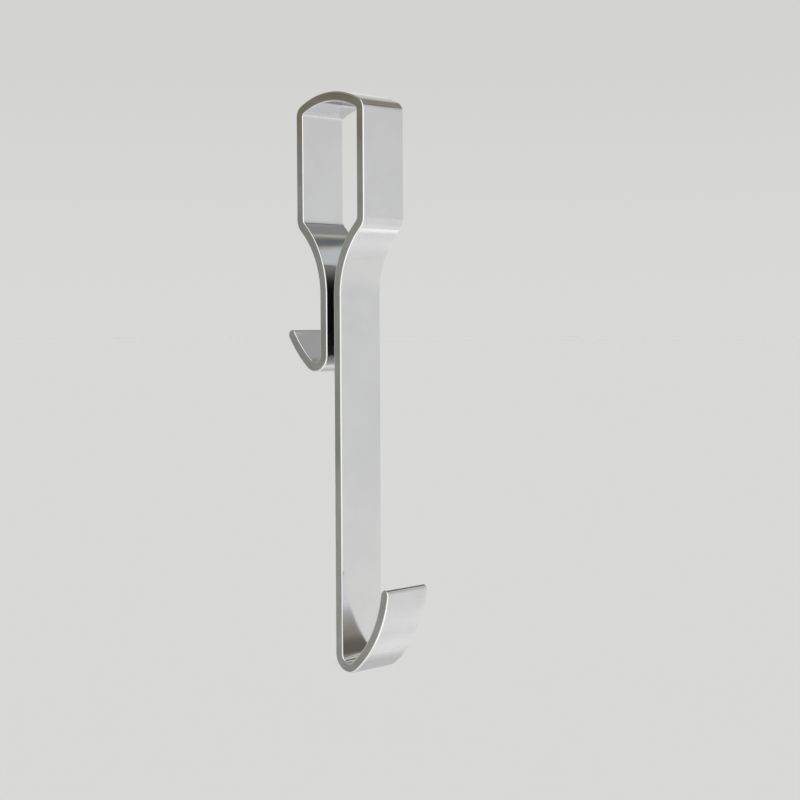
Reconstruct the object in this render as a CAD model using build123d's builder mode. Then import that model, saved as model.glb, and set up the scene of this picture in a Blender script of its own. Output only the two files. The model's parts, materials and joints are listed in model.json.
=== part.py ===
"""Shower door hook: one bright metal strip, bent to hang over a door's top rail.

The strip's arched crown rests on the rail, and its two cheeks pass in front of and behind it.
Under the rail the cheeks sweep in to a pair of legs with the glass pane between them.
The long front leg ends in a wide coat hook, and the short back leg in a small hook.

Frame: X runs along the rail, -Y is the front, +Z is up.
The origin is under the crown, at the middle of the strip's width and of the glass pane.
"""

import os
from math import acos, asin, degrees

from build123d import *

# Strip section
strip_width = 25.0
strip_thickness = 4.5
edge_round = 0.7

# What the hook hangs on, with the clearance on each side
rail_depth = 34.0
rail_clearance = 0.5
pane_thickness = 4.0
pane_clearance = 0.3

# Crown and the tight bends at its two shoulders
crown_inner_radius = 37.25
shoulder_inner_radius = 1.0

# Swept necks between the cheeks and the legs
neck_top_depth = 51.0
neck_upper_inner_radius = 3.25
neck_lower_outer_radius = 38.75

# Lowest points of the two hooks, below the crown's underside
front_hook_depth = 254.0
back_hook_depth = 120.0

# Hooks: a tight bend at the bottom, then a long curved arm
bend_inner_radius = 3.7
bend_turn = 128.0
arm_outer_radius = 54.25
front_arm_turn = 44.5
back_arm_turn = 19.8

# Sizes on the strip's middle line, worked out from the ones above
half_thickness = strip_thickness / 2
cheek_offset = rail_depth / 2 + rail_clearance + half_thickness
leg_offset = pane_thickness / 2 + pane_clearance + half_thickness
crown_radius = crown_inner_radius + half_thickness
shoulder_radius = shoulder_inner_radius + half_thickness
neck_upper_radius = neck_upper_inner_radius + half_thickness
neck_lower_radius = neck_lower_outer_radius + half_thickness
bend_radius = bend_inner_radius + half_thickness
arm_radius = arm_outer_radius - half_thickness
crown_half_angle = degrees(asin((cheek_offset - shoulder_radius) / (crown_radius - shoulder_radius)))
neck_angle = degrees(acos(1 - (cheek_offset - leg_offset) / (neck_upper_radius + neck_lower_radius)))


def half_middle_line(side, hook_depth, arm_turn):
    """Draw one half of the strip's middle line, from the crown's top to a hook's tip.

    side is -1 for the front half and +1 for the back half.
    """
    crown = JernArc((0, half_thickness), (side, 0), crown_radius, -side * crown_half_angle)
    shoulder = JernArc(crown @ 1, crown % 1, shoulder_radius, -side * (90 - crown_half_angle))
    cheek = Line(shoulder @ 1, (side * cheek_offset, -neck_top_depth))
    neck_upper = JernArc(cheek @ 1, cheek % 1, neck_upper_radius, -side * neck_angle)
    neck_lower = JernArc(neck_upper @ 1, neck_upper % 1, neck_lower_radius, side * neck_angle)
    leg_end = (side * leg_offset, half_thickness + bend_radius - hook_depth)
    leg = Line(neck_lower @ 1, leg_end)
    bend = JernArc(leg @ 1, leg % 1, bend_radius, side * bend_turn)
    JernArc(bend @ 1, bend % 1, arm_radius, side * arm_turn)


# The whole strip: its side outline, with round tips, is drawn once and made as wide as the strip
with BuildPart() as hook_strip:
    with BuildSketch(Plane.YZ) as outline:
        with BuildLine() as middle_line:
            half_middle_line(-1, front_hook_depth, front_arm_turn)
            half_middle_line(1, back_hook_depth, back_arm_turn)
            offset(amount=half_thickness)
        make_face()
    extrude(amount=strip_width / 2, both=True)
    side_faces = hook_strip.faces().filter_by(Axis.X)
    fillet(side_faces.edges(), radius=edge_round)

os.makedirs("parts", exist_ok=True)
hook_strip.part.label = "hook_strip"
export_step(hook_strip.part, "parts/hook_strip.step")
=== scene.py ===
"""Looks of the shower door hook: a smooth bright strip, its finishes and painted shade, a pale studio and
the camera.

Every length is in metres, in the frame of the model: X across the strip, -Y the front, +Z up.
"""

import json
from math import acos, asin, ceil, cos, pi, radians, sin

import bpy
from mathutils import Matrix, Vector


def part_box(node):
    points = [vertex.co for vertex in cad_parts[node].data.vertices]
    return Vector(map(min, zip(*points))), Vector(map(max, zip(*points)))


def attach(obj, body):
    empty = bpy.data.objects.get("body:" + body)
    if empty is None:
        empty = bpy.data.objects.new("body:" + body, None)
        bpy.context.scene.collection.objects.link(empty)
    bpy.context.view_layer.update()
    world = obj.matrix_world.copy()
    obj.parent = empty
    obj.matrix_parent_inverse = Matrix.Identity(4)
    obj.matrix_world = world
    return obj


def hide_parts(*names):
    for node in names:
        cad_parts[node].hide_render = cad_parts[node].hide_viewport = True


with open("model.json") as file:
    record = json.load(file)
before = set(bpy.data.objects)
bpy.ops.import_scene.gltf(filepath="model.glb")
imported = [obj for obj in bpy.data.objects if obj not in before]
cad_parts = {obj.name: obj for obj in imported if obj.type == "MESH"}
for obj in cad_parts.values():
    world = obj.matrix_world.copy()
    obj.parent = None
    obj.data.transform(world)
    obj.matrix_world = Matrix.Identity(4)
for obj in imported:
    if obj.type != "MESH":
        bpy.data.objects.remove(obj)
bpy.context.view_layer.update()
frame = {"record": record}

# Strip sizes read from the model: the crown's underside is the origin
NODE = "hook_strip"
LOW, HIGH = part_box(NODE)
MOUNTS = {mount["name"]: mount["pos_m"] for mount in frame["record"]["mounts"]}
WIDTH = HIGH.x - LOW.x
HALF_THICKNESS = HIGH.z / 2
CHEEK_OFFSET = MOUNTS["back_cheek"][1] + HALF_THICKNESS
LEG_OFFSET = MOUNTS["back_pane_face"][1] + HALF_THICKNESS
FRONT_HOOK_DEPTH = -LOW.z

# Rounding of the strip's edges, and its bends on the middle line
EDGE_ROUND = 0.0007
CROWN_RADIUS = 0.0395
SHOULDER_RADIUS = 0.00325
NECK_TOP_DEPTH = 0.051
NECK_UPPER_RADIUS = 0.0055
NECK_LOWER_RADIUS = 0.041
BACK_HOOK_DEPTH = 0.120
BEND_RADIUS = 0.00595
BEND_TURN = radians(128)
ARM_RADIUS = 0.052
FRONT_ARM_TURN = radians(44.5)
BACK_ARM_TURN = radians(19.8)

# Fineness of the mesh
STRAIGHT_STEP = 0.003
ARC_STEP = 0.0012
ARC_STEP_TURN = radians(3)
TIP_STEPS = 24
EDGE_STEPS = 6
WIDTH_STEPS = 8

# Noise: the values between which it is spread out, and the depth of the relief that it makes
NOISE_LOW = 0.35
NOISE_HIGH = 0.65
RELIEF = 0.000002

# Finish of the faces: tones as light, noise in cells to the metre along X, Y and Z
PLATING_TONES = ((0.80, 0.80, 0.825, 1), (0.83, 0.83, 0.855, 1))
PLATING_ROUGHNESS = (0.07, 0.12)
SMEAR_CELLS = (60, 60, 60)
DRAWING_LINE_CELLS = (15, 1400, 1400)
RUBBED_TONE = (0.96, 0.96, 0.97, 1)
# Painted shade: the recess tone darkens the gap between the legs, where shade falls
RECESS_PAINTED_SHADE = (0.18, 0.18, 0.18, 1)
RECESS_ROUGHNESS = 0.3

# Finish of the cut sides: rougher, with darker tones that are painted shade
CUT_PAINTED_SHADE_TONES = ((0.53, 0.53, 0.52, 1), (0.66, 0.66, 0.65, 1))
CUT_ROUGHNESS = (0.20, 0.26)
CLOUD_CELLS = (45, 45, 45)
SAW_LINE_CELLS = (200, 90, 1100)

# Where the edge roundings, which rub against everything, shine brightest
RUB_START = WIDTH / 2 - 1.4 * EDGE_ROUND
RUB_FULL = WIDTH / 2 - 0.7 * EDGE_ROUND

# Where the legs close in on each other, and shade is painted into the metal: half the gap, the height of
# its end and the fade above that
SLOT_WIDE = 0.0050
SLOT_NARROW = 0.0023
SLOT_BOTTOM = -0.128
SLOT_FADE = 0.028

# Floor, and the sheets on it and panels round it
FLOOR_LEVEL = LOW.z - 0.35
FLOOR_RADIUS = 40.0
FLOOR_CORNERS = 96
FLOOR_COLOUR = (0.758, 0.7696, 0.7883, 1)
FLOOR_ROUGHNESS = 0.9
SHEET_STEP = 0.001
PANEL_BASE = FLOOR_LEVEL - 0.3
PANEL_CORNERS = ((-1, -1), (1, -1), (1, 1), (-1, 1))

# Room: its tones as light, and the sines of the angles above the horizon where one fades into the next
ROOM_COLOUR = (0.690, 0.694, 0.676, 1)
UPPER_ROOM_COLOUR = (0.648, 0.65, 0.627, 1)
CEILING_COLOUR = (0.255, 0.242, 0.19, 1)
UPPER_ROOM_FADE = (0.0, 0.2)
CEILING_FADE = (0.36, 0.74)

# Key lamp: where its light goes, and how wide it spreads
KEY_STRENGTH = 2.3
KEY_DIRECTION = Vector((0.5, 0.5, -0.75))
KEY_SPREAD = radians(100)

# Camera: place, direction and lens
CAMERA_PLACE = Vector((-0.4885, -0.5210, -0.0954))
CAMERA_AZIMUTH = radians(44.94)
CAMERA_ELEVATION = radians(-3.00)
CAMERA_ROLL = radians(-0.23)
CAMERA_LENS = 71.06
CAMERA_SENSOR = 36.0


def half_middle_line(hook_depth, arm_turn):
    """One half of the strip's middle line, as (y, z, heading) points from the crown's top to a hook's tip.

    It is drawn on the +Y side. A heading of 0 points to +Y, and a left turn is positive.
    """
    crown_turn = asin((CHEEK_OFFSET - SHOULDER_RADIUS) / (CROWN_RADIUS - SHOULDER_RADIUS))
    neck_turn = acos(1 - (CHEEK_OFFSET - LEG_OFFSET) / (NECK_UPPER_RADIUS + NECK_LOWER_RADIUS))
    shoulder_depth = CROWN_RADIUS - (CROWN_RADIUS - SHOULDER_RADIUS) * cos(crown_turn) - HALF_THICKNESS
    neck_bottom_depth = NECK_TOP_DEPTH + (NECK_UPPER_RADIUS + NECK_LOWER_RADIUS) * sin(neck_turn)
    bend_depth = hook_depth - HALF_THICKNESS - BEND_RADIUS
    pieces = [
        (CROWN_RADIUS * crown_turn, -crown_turn),
        (SHOULDER_RADIUS * (pi / 2 - crown_turn), crown_turn - pi / 2),
        (NECK_TOP_DEPTH - shoulder_depth, 0),
        (NECK_UPPER_RADIUS * neck_turn, -neck_turn),
        (NECK_LOWER_RADIUS * neck_turn, neck_turn),
        (bend_depth - neck_bottom_depth, 0),
        (BEND_RADIUS * BEND_TURN, BEND_TURN),
        (ARM_RADIUS * arm_turn, arm_turn),
    ]
    y, z, heading = 0.0, HALF_THICKNESS, 0.0
    points = [(y, z, heading)]
    for length, turn in pieces:
        step = ARC_STEP if turn else STRAIGHT_STEP
        count = ceil(max(length / step, abs(turn) / ARC_STEP_TURN))
        half_turn = turn / count / 2
        chord = length / count * (sin(half_turn) / half_turn if turn else 1)
        for _ in range(count):
            heading += half_turn
            y += chord * cos(heading)
            z += chord * sin(heading)
            heading += half_turn
            points.append((y, z, heading))
    return points


def middle_line():
    """The whole middle line, from the front hook's tip over the crown to the back hook's tip."""
    front = half_middle_line(FRONT_HOOK_DEPTH, FRONT_ARM_TURN)
    back = half_middle_line(BACK_HOOK_DEPTH, BACK_ARM_TURN)
    front_walked_back = [(-y, z, -heading) for y, z, heading in reversed(front)]
    return front_walked_back + back[1:]


def contour_directions(line):
    """The closed side outline, as (point, outward direction) pairs round the middle line.

    It runs along the strip's left side, round the last tip, back along its right side and round the first.
    """
    left = [((y, z), heading + pi / 2) for y, z, heading in line]
    right = [((y, z), heading - pi / 2) for y, z, heading in reversed(line)]
    turns = [pi * step / TIP_STEPS for step in range(1, TIP_STEPS)]
    last_tip = [(left[-1][0], left[-1][1] - turn) for turn in turns]
    first_tip = [(right[-1][0], right[-1][1] - turn) for turn in turns]
    return left + last_tip + right + first_tip


def ring_places():
    """The rings across the strip's width, from +X to -X.

    Each is its x, its distance from the middle line, and the lean of its surface towards +X.
    """
    flat_half = WIDTH / 2 - EDGE_ROUND
    rounding = []
    for step in range(EDGE_STEPS + 1):
        lean = pi / 2 * (1 - step / EDGE_STEPS)
        x = flat_half + EDGE_ROUND * sin(lean)
        distance = HALF_THICKNESS - EDGE_ROUND + EDGE_ROUND * cos(lean)
        rounding.append((x, distance, lean))
    across = [flat_half * (1 - 2 * step / WIDTH_STEPS) for step in range(1, WIDTH_STEPS)]
    flat = [(x, HALF_THICKNESS, 0.0) for x in across]
    far_rounding = [(-x, distance, -lean) for x, distance, lean in reversed(rounding)]
    return rounding + flat + far_rounding


def strip_surface(contour, rings):
    """The strip's points and their exact normals, ring by ring."""
    points, normals = [], []
    for x, distance, lean in rings:
        for (y, z), angle in contour:
            points.append((x, y + distance * cos(angle), z + distance * sin(angle)))
            normals.append((sin(lean), cos(lean) * cos(angle), cos(lean) * sin(angle)))
    return points, normals


def strip_faces(size, ring_count):
    """The quads between rings of that size, and the quads that fill the two sides.

    Each side is filled across the strip, between outline points that face each other.
    """
    polished = []
    for ring in range(ring_count - 1):
        near, far = ring * size, (ring + 1) * size
        for step in range(size):
            following = (step + 1) % size
            polished.append((near + step, near + following, far + following, far + step))
    first = size - TIP_STEPS // 2
    pairs = [((first + step) % size, (first - step) % size) for step in range(size // 2 + 1)]
    last_ring = (ring_count - 1) * size
    cut = []
    for (a, b), (c, d) in zip(pairs, pairs[1:]):
        face = list(dict.fromkeys((a, b, d, c)))
        cut.append(face)
        cut.append([last_ring + corner for corner in reversed(face)])
    return polished, cut


def make_strip(polished_finish, cut_finish):
    """The strip as one closed mesh of even quads, with polished faces and cut sides."""
    contour = contour_directions(middle_line())
    rings = ring_places()
    points, normals = strip_surface(contour, rings)
    polished, cut = strip_faces(len(contour), len(rings))
    mesh = bpy.data.meshes.new("bright_strip")
    mesh.from_pydata(points, [], polished + cut)
    mesh.materials.append(polished_finish)
    mesh.materials.append(cut_finish)
    for polygon in mesh.polygons:
        polygon.use_smooth = True
        polygon.material_index = int(polygon.index >= len(polished))
    mesh.normals_split_custom_set_from_vertices(normals)
    strip = bpy.data.objects.new("bright_strip", mesh)
    bpy.context.collection.objects.link(strip)
    return strip


def new_metal(name):
    """A metal material, with its node tree and its shader."""
    material = bpy.data.materials.new(name)
    material.use_nodes = True
    tree = material.node_tree
    shader = tree.nodes["Principled BSDF"]
    shader.inputs["Metallic"].default_value = 1.0
    return material, tree, shader


def add_place(tree, kind):
    """X, Y and Z in one kind of texture coordinates."""
    place = tree.nodes.new("ShaderNodeTexCoord")
    parts = tree.nodes.new("ShaderNodeSeparateXYZ")
    tree.links.new(place.outputs[kind], parts.inputs["Vector"])
    return parts.outputs["X"], parts.outputs["Y"], parts.outputs["Z"]


def add_math(tree, operation, *values):
    """An operation on one or two links."""
    node = tree.nodes.new("ShaderNodeMath")
    node.operation = operation
    for socket, value in zip(node.inputs, values):
        tree.links.new(value, socket)
    return node.outputs["Value"]


def add_share(tree, value, start, end, low=0.0, high=1.0):
    """A smooth change from low to high as a value goes from start to end."""
    share = tree.nodes.new("ShaderNodeMapRange")
    share.interpolation_type = "SMOOTHSTEP"
    share.inputs["From Min"].default_value = start
    share.inputs["From Max"].default_value = end
    share.inputs["To Min"].default_value = low
    share.inputs["To Max"].default_value = high
    tree.links.new(value, share.inputs["Value"])
    return share.outputs["Result"]


def add_mix(tree, kind, share, low, high):
    """A number or a colour between two, by a share from 0 to 1. Each of the two is a value or a link."""
    mix = tree.nodes.new("ShaderNodeMix")
    mix.data_type = kind
    tree.links.new(share, mix.inputs["Factor"])
    for name, end in (("A", low), ("B", high)):
        if isinstance(end, bpy.types.NodeSocket):
            tree.links.new(end, mix.inputs[name])
        else:
            mix.inputs[name].default_value = end
    return mix.outputs["Result"]


def add_noise(tree, cells, detail):
    """Noise with so many cells to the metre along X, Y and Z."""
    place = tree.nodes.new("ShaderNodeTexCoord")
    mapping = tree.nodes.new("ShaderNodeMapping")
    mapping.inputs["Scale"].default_value = cells
    noise = tree.nodes.new("ShaderNodeTexNoise")
    noise.inputs["Scale"].default_value = 1.0
    noise.inputs["Detail"].default_value = detail
    tree.links.new(place.outputs["Object"], mapping.inputs["Vector"])
    tree.links.new(mapping.outputs["Vector"], noise.inputs["Vector"])
    return noise.outputs["Fac"]


def spread_noise(tree, noise, low, high):
    """Noise spread out over low to high."""
    return add_share(tree, noise, NOISE_LOW, NOISE_HIGH, low, high)


def add_bump(tree, shader, height, depth):
    """Relief of that depth from a height of 0 to 1."""
    bump = tree.nodes.new("ShaderNodeBump")
    bump.inputs["Strength"].default_value = 1.0
    bump.inputs["Distance"].default_value = depth
    tree.links.new(height, bump.inputs["Height"])
    tree.links.new(bump.outputs["Normal"], shader.inputs["Normal"])


def add_zones(tree):
    """Two shares from 0 to 1: the rubbed edge roundings, and the recess where the two legs close in.

    The recess share paints shade there: a dark base colour where the two legs shade each other, which is
    also rougher.
    """
    x, y, z = add_place(tree, "Object")
    aside = add_math(tree, "ABSOLUTE", x)
    depth = add_math(tree, "ABSOLUTE", y)
    rubbed = add_share(tree, aside, RUB_START, RUB_FULL)
    unrubbed = add_share(tree, aside, RUB_FULL, RUB_START)
    narrow = add_share(tree, depth, SLOT_WIDE, SLOT_NARROW)
    above = add_share(tree, z, SLOT_BOTTOM, SLOT_BOTTOM + SLOT_FADE)
    shaded_recess = add_math(tree, "MULTIPLY", add_math(tree, "MULTIPLY", narrow, above), unrubbed)
    return rubbed, shaded_recess


def polished_metal():
    """Bright plating: faint drawing lines along X, soft smears, shining edges, and painted shade, dark and
    rougher, in the recess.
    """
    material, tree, shader = new_metal("polished_metal")
    smears = add_noise(tree, SMEAR_CELLS, detail=3)
    drawing_lines = add_noise(tree, DRAWING_LINE_CELLS, detail=2)
    rubbed, shaded_recess = add_zones(tree)
    plating = add_mix(tree, "RGBA", spread_noise(tree, smears, 0, 1), *PLATING_TONES)
    bright = add_mix(tree, "RGBA", rubbed, plating, RUBBED_TONE)
    # Painted shade: the base colour goes dark in the recess between the legs
    colour = add_mix(tree, "RGBA", shaded_recess, bright, RECESS_PAINTED_SHADE)
    smooth = spread_noise(tree, smears, *PLATING_ROUGHNESS)
    roughness = add_mix(tree, "FLOAT", shaded_recess, smooth, RECESS_ROUGHNESS)
    tree.links.new(colour, shader.inputs["Base Color"])
    tree.links.new(roughness, shader.inputs["Roughness"])
    add_bump(tree, shader, drawing_lines, RELIEF)
    return material


def cut_metal():
    """The cut sides: rougher than the plating, with fine saw lines, and darker tones that are painted
    shade.
    """
    material, tree, shader = new_metal("cut_metal")
    clouds = add_noise(tree, CLOUD_CELLS, detail=2)
    saw_lines = add_noise(tree, SAW_LINE_CELLS, detail=2)
    # Painted shade: the cut sides' base colour is darker than the plating's
    colour = add_mix(tree, "RGBA", spread_noise(tree, clouds, 0, 1), *CUT_PAINTED_SHADE_TONES)
    roughness = spread_noise(tree, saw_lines, *CUT_ROUGHNESS)
    tree.links.new(colour, shader.inputs["Base Color"])
    tree.links.new(roughness, shader.inputs["Roughness"])
    add_bump(tree, shader, saw_lines, RELIEF)
    return material


def link_stage(name, corners, material):
    """One flat face of the stage."""
    mesh = bpy.data.meshes.new(name)
    mesh.from_pydata(corners, [], [range(len(corners))])
    mesh.materials.append(material)
    thing = bpy.data.objects.new(name, mesh)
    bpy.context.collection.objects.link(thing)
    return thing


def make_floor():
    """A wide pale floor below the hanging hook."""
    material = bpy.data.materials.new("floor")
    material.use_nodes = True
    shader = material.node_tree.nodes["Principled BSDF"]
    shader.inputs["Base Color"].default_value = FLOOR_COLOUR
    shader.inputs["Roughness"].default_value = FLOOR_ROUGHNESS
    shader.inputs["Specular IOR Level"].default_value = 0.0
    turns = [2 * pi * step / FLOOR_CORNERS for step in range(FLOOR_CORNERS)]
    rim = [(FLOOR_RADIUS * cos(turn), FLOOR_RADIUS * sin(turn), FLOOR_LEVEL) for turn in turns]
    link_stage("floor", rim, material)


def make_room():
    """The world: pale all round, a little darker higher up, with a taupe ceiling."""
    world = bpy.data.worlds.new("studio")
    bpy.context.scene.world = world
    world.use_nodes = True
    tree = world.node_tree
    _, _, height = add_place(tree, "Generated")
    rising = add_share(tree, height, *UPPER_ROOM_FADE)
    overhead = add_share(tree, height, *CEILING_FADE)
    wall = add_mix(tree, "RGBA", rising, ROOM_COLOUR, UPPER_ROOM_COLOUR)
    room = add_mix(tree, "RGBA", overhead, wall, CEILING_COLOUR)
    tree.links.new(room, tree.nodes["Background"].inputs["Color"])


def make_key_lamp():
    """A wide soft lamp from the front left and above, which the metal doesn't mirror."""
    lamp = bpy.data.lights.new("key", "SUN")
    lamp.energy = KEY_STRENGTH
    lamp.angle = KEY_SPREAD
    key = bpy.data.objects.new("key", lamp)
    key.rotation_mode = "QUATERNION"
    key.rotation_quaternion = KEY_DIRECTION.to_track_quat("-Z", "Y")
    key.visible_glossy = False
    bpy.context.collection.objects.link(key)


def outward(azimuth):
    """The level direction of an azimuth in degrees: 0 is the back, 90 the right."""
    return Vector((sin(radians(azimuth)), cos(radians(azimuth)), 0))


def add_soft_edge(tree, softness):
    """1 over the middle of a panel, falling to 0 at its rim.

    A softness of 0.5 starts to fall at the middle, and one of 0.1 close to the rim.
    """
    across, along, _ = add_place(tree, "UV")
    aside = add_math(tree, "ABSOLUTE", across)
    ahead = add_math(tree, "ABSOLUTE", along)
    farther = add_math(tree, "MAXIMUM", aside, ahead)
    return add_share(tree, farther, 1, 1 - 2 * softness)


def make_panel(name, middle, across, along, softness, colour):
    """A soft-edged studio panel that only shows in the metal, from its middle and its two half sizes."""
    material = bpy.data.materials.new(name)
    material.use_nodes = True
    tree = material.node_tree
    tree.nodes.remove(tree.nodes["Principled BSDF"])
    glow = tree.nodes.new("ShaderNodeEmission")
    glow.inputs["Color"].default_value = (*colour, 1)
    clear = tree.nodes.new("ShaderNodeBsdfTransparent")
    blend = tree.nodes.new("ShaderNodeMixShader")
    tree.links.new(add_soft_edge(tree, softness), blend.inputs["Fac"])
    tree.links.new(clear.outputs["BSDF"], blend.inputs[1])
    tree.links.new(glow.outputs["Emission"], blend.inputs[2])
    tree.links.new(blend.outputs["Shader"], tree.nodes["Material Output"].inputs["Surface"])
    rim = [middle + across * u + along * v for u, v in PANEL_CORNERS]
    panel = link_stage(name, rim, material)
    spread = panel.data.uv_layers.new()
    for corner, place in zip(spread.data, PANEL_CORNERS):
        corner.uv = place
    panel.visible_camera = False
    panel.visible_shadow = False
    panel.visible_diffuse = False


def make_wall_panel(name, azimuth, distance, width, heights, softness, colour):
    """An upright panel that faces the hook, from one height to another."""
    bottom, top = heights
    middle = outward(azimuth) * distance + Vector((0, 0, (bottom + top) / 2))
    up = Vector((0, 0, (top - bottom) / 2))
    make_panel(name, middle, outward(azimuth + 90) * width / 2, up, softness, colour)


def make_level_panel(name, azimuth, height, width, reach, softness, colour):
    """A level panel that points at the hook, from one distance to another."""
    near, far = reach
    middle = outward(azimuth) * (near + far) / 2 + Vector((0, 0, height))
    along = outward(azimuth) * (far - near) / 2
    make_panel(name, middle, outward(azimuth + 90) * width / 2, along, softness, colour)


def make_walls():
    """The large panels round and above the hook."""
    make_wall_panel("window", -136, 1.1, 1.9, (PANEL_BASE, 2.2), 0.25, (1.12, 1.12, 1.1))
    make_wall_panel("grey_wall", -38, 1.0, 1.2, (PANEL_BASE, 1.0), 0.12, (0.37, 0.375, 0.355))
    make_wall_panel("upper_wall", -38, 0.99, 1.0, (0.03, 0.9), 0.12, (0.22, 0.197, 0.145))
    make_wall_panel("dark_door", -80, 0.98, 0.7, (PANEL_BASE, 1.0), 0.12, (0.08, 0.08, 0.075))
    make_level_panel("sky_light", -125, 1.6, 1.5, (0.1, 1.5), 0.3, (1.1, 1.1, 1.08))
    make_wall_panel("far_wall", 52, 1.6, 0.9, (-0.5, 0.66), 0.2, (0.86, 0.86, 0.845))


def make_small_panels():
    """Small level panels a little above the hook and to its right, which its upturned faces mirror."""
    # Name, middle, half sizes along X and Y, softness, colour
    panels = [
        ("hook_lamp", (0.176, -0.010, 0.0835), (0.026, 0.068), 0.15, (0.385, 0.385, 0.38)),
        ("neck_lamp", (0.126, 0.021, 0.083), (0.029, 0.031), 0.15, (0.265, 0.27, 0.255)),
        ("glint", (0.126, -0.010, 0.082), (0.029, 0.009), 0.35, (0.45, 0.47, 0.455)),
        ("vent", (0.126, -0.041, 0.081), (0.029, 0.023), 0.25, (0.135, 0.15, 0.155)),
        ("crown_shade", (0.090, -0.078, 0.0805), (0.028, 0.024), 0.25, (0.225, 0.208, 0.172)),
        ("hook_shade", (0.325, 0.030, 0.100), (0.080, 0.120), 0.3, (0.14, 0.135, 0.11)),
        ("hook_glint", (0.340, -0.148, 0.100), (0.055, 0.052), 0.3, (0.95, 0.95, 0.92)),
    ]
    for name, middle, (half_x, half_y), softness, colour in panels:
        make_panel(name, Vector(middle), Vector((half_x, 0, 0)), Vector((0, half_y, 0)), softness, colour)
    make_level_panel("cool_lamp", 124.5, 0.0815, 0.11, (0.14, 0.285), 0.25, (0.54, 0.56, 0.555))


def make_sheets():
    """Sheets on the floor, each a step above the one before."""
    # Name, azimuth, width, nearest and farthest distance, softness, colour
    sheets = [
        ("right_sheet", 118, 4.0, (-1.2, 6.0), 0.45, (0.76, 0.76, 0.73)),
        ("left_sheet", -135, 1.5, (0.05, 1.25), 0.25, (1.05, 1.05, 1.03)),
        ("pale_tile", 116, 0.5, (0.25, 0.85), 0.5, (0.85, 0.85, 0.83)),
        ("bright_tile", 90, 0.17, (0.44, 0.70), 0.35, (1.1, 1.1, 1.075)),
        ("low_tile", 99, 0.26, (0.2, 0.48), 0.5, (0.86, 0.86, 0.84)),
        ("shade", 52, 0.405, (-0.2, 2.4), 0.2, (0.56, 0.56, 0.55)),
    ]
    for layer, (name, azimuth, width, reach, softness, colour) in enumerate(sheets, 1):
        make_level_panel(name, azimuth, FLOOR_LEVEL + layer * SHEET_STEP, width, reach, softness, colour)


def make_studio():
    """A pale room with one soft lamp, and the panels that the metal mirrors."""
    make_room()
    make_key_lamp()
    make_walls()
    make_small_panels()
    make_sheets()
    make_floor()


def make_camera():
    """The camera, level with the small hook's tip, half way between the front and the left side."""
    lens = bpy.data.cameras.new("camera")
    lens.sensor_width = CAMERA_SENSOR
    lens.lens = CAMERA_LENS
    camera = bpy.data.objects.new("camera", lens)
    turn = Matrix.Rotation(-CAMERA_AZIMUTH, 4, "Z")
    tilt = Matrix.Rotation(pi / 2 + CAMERA_ELEVATION, 4, "X")
    roll = Matrix.Rotation(CAMERA_ROLL, 4, "Z")
    camera.matrix_world = Matrix.Translation(CAMERA_PLACE) @ turn @ tilt @ roll
    bpy.context.collection.objects.link(camera)
    bpy.context.scene.camera = camera


bpy.context.scene.view_settings.view_transform = "Standard"
make_camera()
make_studio()
strip = make_strip(polished_metal(), cut_metal())
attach(strip, "root")
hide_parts(NODE)
